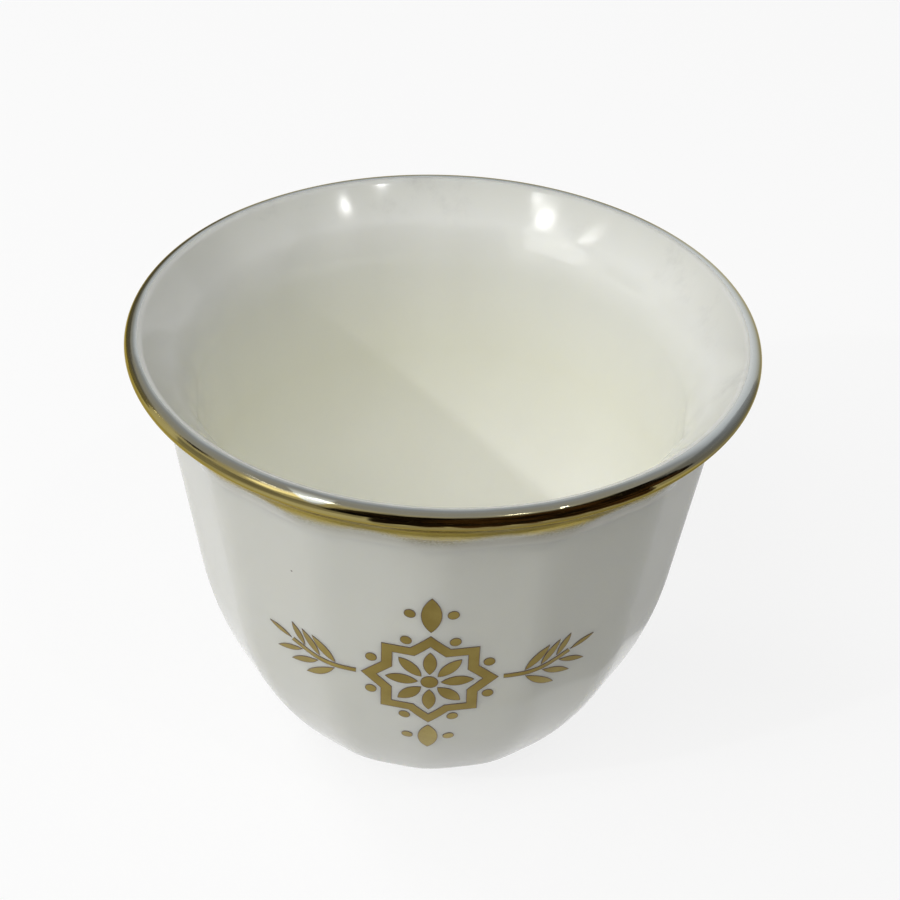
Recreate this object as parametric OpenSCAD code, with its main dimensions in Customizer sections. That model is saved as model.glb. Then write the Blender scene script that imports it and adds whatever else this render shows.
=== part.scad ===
// Handleless coffee cup of white glazed porcelain: a round lip that flares out and
// carries a gold band, a wall pressed into flat upright panels, and a round foot ring.
// Millimetres, +Z up. The origin is the middle of the standing face, and one of the
// ridges between two panels faces -Y, with the gold ornament laid over it.

/* [Cup] */
// Height from the standing face to the crest of the lip
cup_height = 51.3; // [44:0.1:60]
// Diameter across the outermost ring of the lip
rim_diameter = 66; // [64:0.5:69]
// How far the lip stands out past the neck, where it starts to flare
lip_overhang = 3.8; // [2.5:0.1:5]
// Lean of the wall from upright, outwards towards the lip, in degrees
wall_lean = 8.75; // [5:0.25:11]
// Height at which the straight wall turns into the bowl
belly_height = 25.3; // [20:0.1:30]
// Thickness of the wall, square to its outside
wall_thickness = 3; // [2:0.1:4]
// Radius of the rounded edge of the lip
lip_radius = 1.1; // [0.8:0.05:1.4]

/* [Curves] */
// Radius of the hollow under the flared lip
flare_radius = 8; // [7:0.25:10]
// Bend inside, where the lip turns into the wall, as a share of the widest that meets the lip
neck_bend_share = 0.8; // [0.3:0.05:0.9]
// Radius of the bowl's outside, seen from the side
bowl_radius = 45; // [43:0.5:50]
// Radius of the heel, from the bowl round to the underside
heel_radius = 9; // [7:0.25:11]
// Radius of the inside between the bowl and the floor
floor_bend_radius = 18; // [12:0.5:20]

/* [Panels] */
// Number of flat panels pressed round the wall
panel_count = 15; // [12:1:20]
// Depth of a panel's middle below the round ridges
panel_depth = 0.4; // [0.2:0.05:0.5]
// How far below the lip's own hollow the panels begin to flare
panel_runout = 0.8; // [0.6:0.05:1.2]
// How far below the cup's own bowl the panels curve in, which fades them towards the foot
panel_fade = 0.5; // [0.3:0.05:0.8]

/* [Foot] */
// Outer diameter of the foot ring at the standing face
foot_diameter = 24.4; // [23.6:0.1:27]
// Width of the foot ring
foot_width = 2.8; // [2.4:0.1:3.6]
// Height of the foot ring, from the standing face to the cup's underside
foot_height = 1.6; // [1:0.1:2.5]
// Thickness of the floor above the underside
floor_thickness = 3.6; // [3:0.1:5]
// Chamfer on both edges of the standing face
foot_chamfer = 0.4; // [0.2:0.05:0.8]

/* [Gilding] */
// Thickness given to the fired gold
gold_thickness = 0.1; // [0.06:0.01:0.2]
// Depth of the gold band, from the crest of the lip to its lower edge
band_depth = 5.5; // [5:0.1:7]

/* [Ornament] */
// Height of the ornament's centre above the standing face
ornament_height = 25.2; // [23:0.1:27]
// Radius of the star to its points
star_radius = 7; // [6.2:0.1:8]
// Width of the star's outline
star_line = 1.15; // [0.5:0.05:1.2]
// Gap between the tip of a petal and the star's outline round it
petal_tip_gap = 0.85; // [0.5:0.05:2]
// Radius of the flower's middle disc
flower_middle_radius = 0.9; // [0.5:0.05:1]
// Gap between the pieces of the ornament that lie side by side
ornament_gap = 0.5; // [0.3:0.05:0.8]
// Radius of a bead
bead_radius = 0.6; // [0.3:0.05:0.7]
// Length of the leaf that stands above and below the star
tip_leaf_length = 5; // [3:0.1:5.4]
// Length of a side spray's stem, measured along its curve
stem_length = 6.8; // [5.6:0.1:8]
// Radius of the stem's curve
stem_curve_radius = 16; // [12:0.5:24]
// Width of a stem
stem_width = 0.6; // [0.4:0.05:0.7]
// Pairs of leaves on a spray
leaf_pairs = 3; // [2:1:4]
// Length of the largest leaf of a spray
leaf_length = 4.3; // [2.5:0.1:4.4]
// Angle between a leaf and its stem, in degrees
leaf_angle = 45; // [38:1:55]
// Gap between a leaf and its stem
leaf_gap = 0.15; // [0.1:0.05:0.3]

/* [Hidden] */

$fn = 96;
// Straight runs that stand for a curve: along the wall, and round the edge of the lip
curve_steps = 6;
lip_steps = 12;
// How far a cutting shape runs past what it cuts
overrun = 2;

porcelain_colour = "whitesmoke";
gold_colour = "darkgoldenrod";

// Width of a petal as a share of its length, and the last leaf of a spray as a share of
// its largest
petal_width_share = 0.42;
small_leaf_share = 0.6;

// Directions square to the wall and up along it
wall_out = [cos(wall_lean), -sin(wall_lean)];
wall_up = [sin(wall_lean), cos(wall_lean)];

// Middles of the curves of the outside, each tangent to the one before it
rim_radius = rim_diameter / 2;
neck_radius = rim_radius - lip_overhang;
lip_middle = [rim_radius - lip_radius, cup_height - lip_radius];
flare_x = neck_radius + flare_radius * wall_out.x;
flare_rise = sqrt((flare_radius + lip_radius) ^ 2 - (lip_middle.x - flare_x) ^ 2);
flare_middle = [flare_x, lip_middle.y - flare_rise];
flare_end_angle = atan2(flare_rise, lip_middle.x - flare_x);
neck_point = flare_middle - flare_radius * wall_out;
belly_point = [neck_radius - (neck_point.y - belly_height) * tan(wall_lean), belly_height];
bowl_middle = belly_point - bowl_radius * wall_out;
heel_middle = inner_tangent(bowl_middle, bowl_radius, heel_radius, foot_height);
heel_angle = angle_below(bowl_middle, heel_middle);

// Middles of the curves of the inside. The widest bend inside the neck runs straight into
// the lip's edge.
floor_height = foot_height + floor_thickness;
lip_offset = lip_middle - neck_point + wall_thickness * wall_out;
widest_neck_bend = (lip_offset * lip_offset - lip_radius ^ 2) / (lip_offset * wall_out - lip_radius) / 2;
neck_bend_radius = neck_bend_share * widest_neck_bend;
neck_bend_middle = neck_point - (wall_thickness - neck_bend_radius) * wall_out;
lip_reach = lip_middle - neck_bend_middle;
inner_flare_angle = atan2(lip_reach.y, lip_reach.x)
    + acos((neck_bend_radius - lip_radius) / norm(lip_reach));
bowl_inner_radius = bowl_radius - wall_thickness;
floor_middle = inner_tangent(bowl_middle, bowl_inner_radius, floor_bend_radius, floor_height);
floor_angle = angle_below(bowl_middle, floor_middle);
// The floor's curve ends level, or on the axis where the cup is narrow
floor_end_angle = -acos(max(0, -floor_middle.x) / floor_bend_radius);

panel_angle = 360 / panel_count;
panel_width = rim_diameter * tan(panel_angle / 2);
foot_radius = foot_diameter / 2;

// The sides of the star's two squares move in by the width of its line, and the petals
// fill the room from the flower's middle to there
star_inner_radius = star_radius - star_line / cos(45);
petal_start = flower_middle_radius + ornament_gap / 2;
petal_length = star_inner_radius - petal_tip_gap - petal_start;

// Panels under the ornament, counted from the ridge at the front to either side
ornament_reach = star_radius + ornament_gap + stem_length + leaf_length;
side_panels = ceil(asin(ornament_reach / neck_radius) / panel_angle);

// Middle of a circle that lies inside a larger one, touching it and the level given
function inner_tangent(middle, outer, inner, level) =
    [middle.x + sqrt((outer - inner) ^ 2 - (level + inner - middle.y) ^ 2), level + inner];

// How steeply one point lies below another, in degrees
function angle_below(from, to) = atan2(from.y - to.y, to.x - from.x);

// Points of an arc, from one angle to another
function arc(middle, radius, from, to, steps = curve_steps) =
    [for (i = [0:steps])
        let (a = from + (to - from) * i / steps)
        middle + radius * [cos(a), sin(a)]];

// Outside of the cup from the underside up to the lip, moved out by grow, with its bowl and
// its flare moved down along the wall
function outside(grow, bowl_drop = 0, flare_drop = 0) = concat(
    arc(heel_middle - bowl_drop * wall_up, heel_radius + grow, -90, -heel_angle),
    arc(bowl_middle - bowl_drop * wall_up, bowl_radius + grow, -heel_angle, -wall_lean),
    arc(flare_middle - flare_drop * wall_up, flare_radius - grow, 180 - wall_lean, flare_end_angle));

// Edge of the lip from the end of the flare over the crest to a given angle
function lip_edge(grow, to) =
    arc(lip_middle, lip_radius + grow, flare_end_angle - 180, to, lip_steps);

// Inside of the cup from the lip down to the floor
function inside() = concat(
    arc(neck_bend_middle, neck_bend_radius, inner_flare_angle, 180 - wall_lean),
    arc(bowl_middle, bowl_inner_radius, -wall_lean, -floor_angle),
    arc(floor_middle, floor_bend_radius, -floor_angle, floor_end_angle));

// One tool that presses a flat panel into the outside
module panel_tool(grow) {
    profile = outside(grow - panel_depth, panel_fade, panel_runout);
    far = rim_radius + overrun;
    last = profile[len(profile) - 1];
    low = foot_height - overrun;
    rotate([90, 0, 0])
        linear_extrude(panel_width, center = true)
            polygon(concat(profile, [[far, last.y], [far, low], [profile[0].x, low]]));
}

module press_panels(grow, panels) {
    difference() {
        children();
        for (i = panels)
            rotate((i + 0.5) * panel_angle - 90)
                panel_tool(grow);
    }
}

// Solid form of the outside with some of its panels, moved out by grow
module outer_form(grow, panels) {
    crest = cup_height + grow;
    underside = foot_height - grow;
    press_panels(grow, panels)
        rotate_extrude()
            polygon(concat([[0, underside]], outside(grow), lip_edge(grow, 90), [[0, crest]]));
}

// Layer of gold on the outside of the cup, over these panels, wherever its children reach
module gold_layer(panels) {
    color(gold_colour)
        intersection() {
            difference() {
                outer_form(gold_thickness, panels);
                outer_form(0, panels);
            }
            children();
        }
}

// Lays a flat drawing over the front of the cup, centred on the ornament's place
module lay_on_front() {
    gold_layer([-side_panels:side_panels - 1])
        translate([0, 0, ornament_height])
            rotate([90, 0, 0])
                linear_extrude(rim_radius)
                    children();
}

module foot_ring() {
    outer = foot_radius;
    inner = foot_radius - foot_width;
    top = foot_height + floor_thickness / 2;
    rotate_extrude()
        polygon([
            [inner, foot_chamfer],
            [inner + foot_chamfer, 0],
            [outer - foot_chamfer, 0],
            [outer, foot_chamfer],
            [outer, top],
            [inner, top]
        ]);
}

// The cup itself: wall, lip, floor and foot ring, fired as one piece
module cup_body() {
    color(porcelain_colour)
        union() {
            press_panels(0, [0:panel_count - 1])
                rotate_extrude()
                    polygon(concat(
                        [[0, foot_height]],
                        outside(0),
                        lip_edge(0, inner_flare_angle),
                        inside(),
                        [[0, floor_height]]));
            foot_ring();
        }
}

// Gold band over the outside of the lip, from its crest down to the neck
module lip_gilding() {
    gold_layer([0:panel_count - 1])
        difference() {
            translate([0, 0, cup_height - band_depth])
                cylinder(h = band_depth + overrun, r = rim_radius + overrun);
            translate([0, 0, lip_middle.y])
                cylinder(h = band_depth + overrun, r = lip_middle.x);
        }
}

// Pointed leaf along +X from the origin, between two equal arcs
module leaf(length, width) {
    radius = (length ^ 2 + width ^ 2) / (4 * width);
    half_turn = asin(length / (2 * radius));
    upper = arc([length / 2, width / 2 - radius], radius, 90 + half_turn, 90 - half_turn);
    lower = [for (i = [1:curve_steps - 1]) [length - upper[i].x, -upper[i].y]];
    polygon(concat(upper, lower));
}

// Eight-pointed star of two equal squares
module star(radius) {
    for (turn = [0, 45])
        rotate(turn)
            circle(radius, $fn = 4);
}

module star_band() {
    lay_on_front()
        difference() {
            star(star_radius);
            star(star_inner_radius);
        }
}

// Flower of eight petals round a disc, inside the star
module star_flower() {
    lay_on_front() {
        circle(flower_middle_radius);
        for (turn = [0:45:315])
            rotate(turn)
                translate([petal_start, 0])
                    leaf(petal_length, petal_length * petal_width_share);
    }
}

// One upright leaf above the star and one below it
module tip_leaves() {
    lay_on_front()
        for (turn = [90, 270])
            rotate(turn)
                translate([star_radius + ornament_gap, 0])
                    leaf(tip_leaf_length, tip_leaf_length * petal_width_share);
}

// Beads in the eight notches of the star, and two beside each upright leaf
module beads() {
    notch_radius = star_radius * cos(45) / cos(22.5);
    side_x = bead_radius + ornament_gap + tip_leaf_length * petal_width_share / 2;
    side_y = star_radius + ornament_gap + tip_leaf_length / 2;
    lay_on_front() {
        for (turn = [22.5:45:337.5])
            rotate(turn)
                translate([notch_radius + ornament_gap + bead_radius, 0])
                    circle(bead_radius);
        for (x = [-side_x, side_x], y = [-side_y, side_y])
            translate([x, y])
                circle(bead_radius);
    }
}

// Point and direction on a stem, at a share of its length; it leaves the star level and
// bends upwards
function stem_turn(share) = share * stem_length / stem_curve_radius * 180 / PI;
function stem_point(share) = stem_curve_radius * [sin(stem_turn(share)), 1 - cos(stem_turn(share))];

// Curved stem with pairs of leaves that grow smaller towards the last one at its end
module spray() {
    middle = [0, stem_curve_radius];
    half_width = stem_width / 2;
    end_angle = stem_turn(1) - 90;
    polygon(concat(
        arc(middle, stem_curve_radius + half_width, -90, end_angle),
        arc(middle, stem_curve_radius - half_width, end_angle, -90)));
    leaf_start = (half_width + leaf_gap) / sin(leaf_angle);
    for (pair = [1:leaf_pairs], side = [-leaf_angle, leaf_angle])
        spray_leaf(pair / (leaf_pairs + 1), side, leaf_start);
    spray_leaf(1, 0, leaf_gap);
}

// One leaf at a share of the stem's length, turned aside and set off from the stem. Its
// width leaves a gap to the next leaf along the stem.
module spray_leaf(share, side, start) {
    size = 1 - (1 - small_leaf_share) * share;
    width = stem_length / (leaf_pairs + 1) * sin(leaf_angle) - leaf_gap;
    translate(stem_point(share))
        rotate(stem_turn(share) + side)
            translate([start, 0])
                leaf(leaf_length * size, width * size);
}

module right_spray() {
    lay_on_front()
        translate([star_radius + ornament_gap, 0])
            spray();
}

module left_spray() {
    lay_on_front()
        mirror([1, 0])
            translate([star_radius + ornament_gap, 0])
                spray();
}

cup_body();
lip_gilding();
star_band();
star_flower();
tip_leaves();
beads();
left_spray();
right_spray();
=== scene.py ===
"""Looks of a handleless coffee cup of white porcelain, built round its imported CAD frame.

The cup is one fired piece: a panelled wall under a flared lip, a round inside and a foot
ring. A bright gold band covers the outside of the lip, and a satin gold ornament lies on
the front. Lengths are metres in the frame's own axes: +Z up and -Y towards the ornament.
"""
import logging
import math
from dataclasses import dataclass
from enum import Enum
from functools import cached_property
from typing import Callable

import bmesh
import bpy
from mathutils import Matrix, Vector, noise
from mathutils.bvhtree import BVHTree


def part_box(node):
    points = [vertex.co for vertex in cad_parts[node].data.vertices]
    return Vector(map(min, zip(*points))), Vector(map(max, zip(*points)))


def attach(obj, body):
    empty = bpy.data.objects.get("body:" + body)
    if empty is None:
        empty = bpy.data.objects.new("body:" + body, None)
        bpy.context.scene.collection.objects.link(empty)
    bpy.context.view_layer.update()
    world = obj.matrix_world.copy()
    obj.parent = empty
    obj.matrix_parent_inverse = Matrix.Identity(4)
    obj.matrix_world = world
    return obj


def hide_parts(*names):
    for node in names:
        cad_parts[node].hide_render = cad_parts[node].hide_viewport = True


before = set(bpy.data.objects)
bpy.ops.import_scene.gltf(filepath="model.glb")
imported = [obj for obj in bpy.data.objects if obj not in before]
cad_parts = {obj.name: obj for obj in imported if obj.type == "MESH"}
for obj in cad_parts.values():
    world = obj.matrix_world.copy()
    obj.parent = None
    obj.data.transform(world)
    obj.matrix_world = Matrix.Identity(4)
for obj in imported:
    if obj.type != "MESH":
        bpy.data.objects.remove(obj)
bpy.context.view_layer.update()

LOG = logging.getLogger("coffee_cup")
BODY = "root"
FULL_TURN = 2 * math.pi
GLASS_INDEX = 1.5
TINY = 1e-9

Colour = tuple[float, float, float]
Span = tuple[float, float]
Socket = bpy.types.NodeSocket
SocketValue = Socket | float | tuple[float, ...]


class Slot(Enum):
    """The record's material slots."""

    PORCELAIN = "porcelain"
    BRIGHT_GOLD = "bright_gold"
    SATIN_GOLD = "satin_gold"


class Layer(Enum):
    """Values that the points of a mesh carry, for shaping it or for its finish."""

    OUT_RADIAL = "out_radial"
    OUT_UP = "out_up"
    PANEL_DEPTH = "panel_depth"
    INSIDE = "inside"
    BARE = "bare"
    ACROSS = "across"
    EDGE = "edge"


Layers = dict[Layer, bmesh.types.BMLayerItem]


class Side(Enum):
    """Side of the cup's front, as the sign of X."""

    LEFT = -1
    RIGHT = 1


def soft_min(a: float, b: float, softness: float) -> float:
    """Returns the smaller of two values, blended where they differ by less than softness."""
    overlap = max(softness - abs(a - b), 0.0)
    return min(a, b) - overlap * overlap / (4 * softness)


def soft_max(a: float, b: float, softness: float) -> float:
    """Returns the larger of two values, blended where they differ by less than softness."""
    return -soft_min(-a, -b, softness)


def ease(low: float, high: float, value: float) -> float:
    """Returns a smooth step from 0 at low to 1 at high."""
    share = min(max((value - low) / (high - low), 0.0), 1.0)
    return share * share * (3 - 2 * share)


# Section of the cup


@dataclass(frozen=True)
class SectionPoint:
    """One point of the cup's section, in (radius, height).

    The outward direction leaves the porcelain, panel_depth is how deep a panel's middle lies
    below the ridges, and inside, bare and across are shares that the finishes read.
    """

    place: Vector
    outward: Vector
    panel_depth: float = 0.0
    inside: float = 0.0
    bare: float = 0.0
    across: float = 0.0


@dataclass(frozen=True)
class Arc:
    """Stretch of a circle in the section, hollow where the porcelain lies outside it."""

    middle: Vector
    radius: float
    start: float
    end: float
    hollow: bool = False

    def angle(self, share: float) -> float:
        """Returns the angle at a share of the way along the arc."""
        return self.start + (self.end - self.start) * share

    def at(self, angle: float) -> tuple[Vector, Vector]:
        """Returns the point at an angle, and the direction out of the porcelain there."""
        ray = Vector((math.cos(angle), math.sin(angle)))
        return self.middle + self.radius * ray, -ray if self.hollow else ray


@dataclass
class CupSection:
    """Section of the cup, a chain of tangent arcs from the foot over the lip to the floor."""

    rim_radius: float
    height: float
    lip_overhang: float = 0.0038
    wall_lean: float = math.radians(8.75)
    belly_height: float = 0.0253
    wall_thickness: float = 0.003
    lip_radius: float = 0.0011
    flare_radius: float = 0.008
    neck_bend_radius: float = 0.0103
    neck_bend_drop: float = 0.0018
    bowl_radius: float = 0.045
    heel_radius: float = 0.009
    floor_bend_radius: float = 0.018
    panel_depth: float = 0.0004
    panel_runout: float = 0.0008
    panel_fade: float = 0.0005
    inner_panel_depth: float = 0.00016
    inner_panel_end: float = 0.036
    # Over these heights the inside share grows, which the glaze turns into painted shade and light in the
    # bowl
    painted_tone_start: float = 0.046
    painted_tone_end: float = 0.018
    lip_shade: float = 0.0018
    foot_radius: float = 0.0122
    foot_width: float = 0.0028
    foot_height: float = 0.0016
    foot_edge_radius: float = 0.0004
    floor_thickness: float = 0.0036
    curve_steps: int = 26
    lip_steps: int = 30
    foot_steps: int = 5

    @classmethod
    def from_frame(cls) -> "CupSection":
        """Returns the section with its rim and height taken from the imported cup."""
        _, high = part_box("cup_body")
        return cls(rim_radius=high.x, height=high.z)

    @cached_property
    def wall_out(self) -> Vector:
        """Direction square to the straight wall."""
        return Vector((math.cos(self.wall_lean), -math.sin(self.wall_lean)))

    @cached_property
    def wall_up(self) -> Vector:
        """Direction up along the straight wall."""
        return Vector((math.sin(self.wall_lean), math.cos(self.wall_lean)))

    @cached_property
    def flare(self) -> Arc:
        """Hollow under the lip, from the neck up to the lip's edge."""
        lip = self.lip_middle
        x = self.rim_radius - self.lip_overhang + self.flare_radius * self.wall_out.x
        rise = math.sqrt((self.flare_radius + self.lip_radius) ** 2 - (lip.x - x) ** 2)
        middle = Vector((x, lip.y - rise))
        return Arc(middle, self.flare_radius, math.pi - self.wall_lean, math.atan2(rise, lip.x - x), True)

    @cached_property
    def lip_middle(self) -> Vector:
        """Middle of the lip's rounded edge."""
        return Vector((self.rim_radius - self.lip_radius, self.height - self.lip_radius))

    @cached_property
    def lip(self) -> Arc:
        """Rounded edge of the lip, from the flare over the crest to the inside."""
        reach = self.lip_middle - self.neck_bend_middle
        end = math.atan2(reach.y, reach.x) + math.acos(
            (self.neck_bend_radius - self.lip_radius) / reach.length)
        return Arc(self.lip_middle, self.lip_radius, self.flare.end - math.pi, end)

    @cached_property
    def neck_point(self) -> Vector:
        """Top of the straight wall, outside."""
        return self.flare.at(self.flare.start)[0]

    @cached_property
    def neck_bend_middle(self) -> Vector:
        """Middle of the bend inside, where the lip turns into the wall."""
        inset = self.wall_thickness - self.neck_bend_radius
        return self.neck_point - inset * self.wall_out - self.neck_bend_drop * self.wall_up

    @cached_property
    def belly_point(self) -> Vector:
        """Foot of the straight wall, where the bowl begins."""
        drop = self.neck_point.y - self.belly_height
        return Vector((self.neck_point.x - drop * math.tan(self.wall_lean), self.belly_height))

    @cached_property
    def bowl_middle(self) -> Vector:
        """Middle of the bowl's curve, outside and inside."""
        return self.belly_point - self.bowl_radius * self.wall_out

    def inner_tangent(self, outer: float, inner: float, level: float) -> Vector:
        """Finds the middle of a circle inside the bowl's curve that also touches a level.

        Args:
            outer: Radius of the bowl's curve.
            inner: Radius of the circle inside it.
            level: Height that the circle touches from above.

        Returns:
            The circle's middle.
        """
        rise = level + inner - self.bowl_middle.y
        run = math.sqrt((outer - inner) ** 2 - rise ** 2)
        return Vector((self.bowl_middle.x + run, level + inner))

    def bowl_and_bend(self, outer: float, inner: float, level: float, hollow: bool) -> tuple[Arc, Arc]:
        """Makes the bowl's curve and the tighter one that turns it level.

        Args:
            outer: Radius of the bowl's curve.
            inner: Radius of the tighter curve.
            level: Height at which the tighter curve runs level.
            hollow: True for the inside of the cup.

        Returns:
            The bowl's arc, from the wall downwards, and the tighter one after it.
        """
        middle = self.inner_tangent(outer, inner, level)
        away = middle - self.bowl_middle
        turn = math.atan2(away.y, away.x)
        bowl = Arc(self.bowl_middle, outer, -self.wall_lean, turn, hollow)
        return bowl, Arc(middle, inner, turn, -math.pi / 2, hollow)

    def walk(self, arc: Arc, steps: int) -> list[tuple[Vector, Vector]]:
        """Returns points along an arc, without its last one, each with its outward direction."""
        return [arc.at(arc.angle(i / steps)) for i in range(steps)]

    def outer_point(self, place: Vector, outward: Vector) -> SectionPoint:
        """Returns a point of the outside, where the panels run out at the lip and fade at the foot."""
        drop = self.panel_runout if place.y > self.neck_point.y else self.panel_fade
        depth = self.panel_depth - drop * abs(self.wall_up.dot(outward))
        return SectionPoint(place, outward, max(depth, 0.0))

    def inner_point(self, place: Vector, outward: Vector) -> SectionPoint:
        """Returns a point of the inside, softly panelled below the lip, with painted shade and light
        that turn creamy and brighter deep down.
        """
        fade = ease(self.inner_panel_end, self.neck_point.y, place.y)
        fade *= ease(self.lip_middle.y, self.neck_point.y + self.lip_radius, place.y)
        white = ease(self.height, self.height - self.lip_shade, place.y)
        bowl_tone = ease(self.painted_tone_start, self.painted_tone_end, place.y)
        return SectionPoint(place, outward, -self.inner_panel_depth * fade, (white + bowl_tone) / 2)

    def wall_points(self) -> list[tuple[Vector, Vector]]:
        """Returns the straight wall outside, from the neck down to the belly."""
        run = self.belly_point - self.neck_point
        shares = [i / self.curve_steps for i in range(self.curve_steps)]
        return [(self.neck_point + run * share, self.wall_out) for share in shares]

    def foot_points(self, heel: Arc) -> list[SectionPoint]:
        """Makes the lower bend of the heel, the foot ring and the underside.

        Args:
            heel: The heel's arc, which the foot ring cuts short.

        Returns:
            Points from the heel down over the foot ring to the axis.
        """
        edge, outer = self.foot_edge_radius, self.foot_radius
        inner = outer - self.foot_width
        up = Vector((0, 1))
        meet = -math.acos((outer + edge - heel.middle.x) / heel.radius)
        heel_end = Arc(heel.middle, heel.radius, heel.start, meet)
        points = [self.outer_point(*spot) for spot in self.walk(heel_end, self.curve_steps)]
        joint, lean = heel_end.at(meet)
        points.append(self.outer_point(joint, lean))
        under = Vector((outer, joint.y - edge))
        points.append(SectionPoint(under, Vector((1, 0))))
        rounds = [
            (Vector((outer - edge, edge)), 0.0),
            (Vector((inner + edge, edge)), -math.pi / 2),
        ]
        for middle, start in rounds:
            arc = Arc(middle, edge, start, start - math.pi / 2)
            spots = self.walk(arc, self.foot_steps)
            points += [SectionPoint(*spot, bare=float(start < 0)) for spot in spots]
            points.append(SectionPoint(*arc.at(arc.end), bare=float(start == 0)))
        ceiling = Vector((inner - edge, self.foot_height - edge))
        fillet = Arc(ceiling, edge, 0.0, math.pi / 2, True)
        points += [SectionPoint(*spot) for spot in self.walk(fillet, self.foot_steps)]
        points.append(SectionPoint(ceiling + edge * up, -up))
        points.append(SectionPoint(Vector((0, self.foot_height)), -up))
        return points

    def outside(self) -> list[SectionPoint]:
        """Returns the outside from the lip's edge down to the middle of the underside."""
        bowl, heel = self.bowl_and_bend(self.bowl_radius, self.heel_radius, self.foot_height, False)
        flare = Arc(self.flare.middle, self.flare.radius, self.flare.end, self.flare.start, True)
        spots = self.walk(flare, self.curve_steps) + self.wall_points()
        spots += self.walk(bowl, self.curve_steps)
        return [self.outer_point(*spot) for spot in spots] + self.foot_points(heel)

    def inside(self) -> list[SectionPoint]:
        """Returns the inside from the middle of the floor up to the lip."""
        level = self.foot_height + self.floor_thickness
        bowl, floor = self.bowl_and_bend(
            self.bowl_radius - self.wall_thickness, self.floor_bend_radius, level, True)
        bend = Arc(self.neck_bend_middle, self.neck_bend_radius, self.lip.end, math.pi - self.wall_lean)
        down = self.walk(bend, self.curve_steps) + [bend.at(bend.end)]
        down += self.walk(bowl, self.curve_steps) + self.walk(floor, self.curve_steps)
        down += [floor.at(floor.end), (Vector((0, level)), Vector((0, 1)))]
        return [self.inner_point(*spot) for spot in down[::-1]]

    def lip_points(self) -> list[SectionPoint]:
        """Returns the lip's edge from the inside over the crest to the flare."""
        angles = [self.lip.angle(1 - i / self.lip_steps) for i in range(self.lip_steps)]
        return [SectionPoint(*self.lip.at(angle)) for angle in angles]

    def whole(self) -> list[SectionPoint]:
        """Returns the closed section, from the axis at the floor to the axis underneath."""
        return self.inside() + self.lip_points() + self.outside()


# Turning a section into a pressed form


@dataclass(frozen=True)
class Press:
    """Presses soft panels into a turned form, with the slight unevenness of fired clay."""

    panels: int = 15
    columns_per_panel: int = 16
    ridge_softness_share: float = 0.018
    panel_edge_softness: float = 0.00012
    waver: float = 0.00004
    waver_size: float = 0.016
    merge_distance: float = 1e-7

    def turn(self, points: list[SectionPoint], closed: bool = False) -> bmesh.types.BMesh:
        """Spins a section round the axis and presses the panels into it.

        Args:
            points: The section, in order.
            closed: True where the section is a loop of its own, off the axis.

        Returns:
            The finished form, with the points' shares on its vertices.
        """
        bm = bmesh.new()
        layers = {layer: bm.verts.layers.float.new(layer.value) for layer in Layer}
        verts = []
        for point in points:
            vert = bm.verts.new((point.place.x, 0.0, point.place.y))
            vert[layers[Layer.OUT_RADIAL]] = point.outward.x
            vert[layers[Layer.OUT_UP]] = point.outward.y
            vert[layers[Layer.PANEL_DEPTH]] = point.panel_depth
            vert[layers[Layer.INSIDE]] = point.inside
            vert[layers[Layer.BARE]] = point.bare
            vert[layers[Layer.ACROSS]] = point.across
            verts.append(vert)
        edges = [bm.edges.new(pair) for pair in zip(verts, verts[1:])]
        if closed:
            edges.append(bm.edges.new((verts[-1], verts[0])))
        bmesh.ops.spin(
            bm, geom=verts + edges, cent=(0, 0, 0), axis=(0, 0, 1), angle=FULL_TURN,
            steps=self.panels * self.columns_per_panel, use_merge=True)
        bmesh.ops.remove_doubles(bm, verts=bm.verts, dist=self.merge_distance)
        for vert in bm.verts:
            self.push(vert, layers)
        bmesh.ops.recalc_face_normals(bm, faces=bm.faces)
        for layer in (Layer.OUT_RADIAL, Layer.OUT_UP, Layer.PANEL_DEPTH, Layer.EDGE):
            bm.verts.layers.float.remove(bm.verts.layers.float[layer.value])
        return bm

    def push(self, vert: bmesh.types.BMVert, layers: Layers) -> None:
        """Moves one vertex into its panel and adds the clay's unevenness."""
        radius = math.hypot(vert.co.x, vert.co.y)
        angle = math.atan2(vert.co.y, vert.co.x)
        radial = vert[layers[Layer.OUT_RADIAL]]
        outward = Vector((
            radial * math.cos(angle), radial * math.sin(angle), vert[layers[Layer.OUT_UP]]))
        depth = vert[layers[Layer.PANEL_DEPTH]]
        inset = self.inset(depth, radius * abs(radial), angle) if depth else 0.0
        uneven = self.waver * noise.noise(vert.co / self.waver_size) * (1 - vert[layers[Layer.BARE]])
        vert.co += outward * (uneven - inset)

    def inset(self, depth: float, radius: float, angle: float) -> float:
        """Works out how far a flat panel lies inside the round form.

        Args:
            depth: Depth of the panel's middle, below 0 where the panel stands out instead.
            radius: Radius of the form, as the slope of its surface shortens it.
            angle: Angle round the axis.

        Returns:
            The distance inwards, square to the surface.
        """
        width = FULL_TURN / self.panels
        aside = abs((angle + math.pi / 2) % width - width / 2)
        here, beyond = (radius * (1 / math.cos(a) - 1) for a in (aside, width - aside))
        rise = soft_min(here, beyond, max(self.ridge_softness_share * radius, TINY))
        return math.copysign(soft_max(abs(depth) - rise, 0.0, self.panel_edge_softness), depth)


def make_object(bm: bmesh.types.BMesh, name: str, sharp_angle: float = math.pi) -> bpy.types.Object:
    """Turns a finished form into a smooth-shaded object of the scene.

    Args:
        bm: The form; it is freed.
        name: Name of the object and its mesh.
        sharp_angle: Edges that turn by more than this stay sharp.

    Returns:
        The new object, at the origin.
    """
    for face in bm.faces:
        face.smooth = True
    for edge in bm.edges:
        edge.smooth = edge.calc_face_angle(0.0) < sharp_angle
    mesh = bpy.data.meshes.new(name)
    bm.to_mesh(mesh)
    bm.free()
    made = bpy.data.objects.new(name, mesh)
    bpy.context.scene.collection.objects.link(made)
    return made


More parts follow.
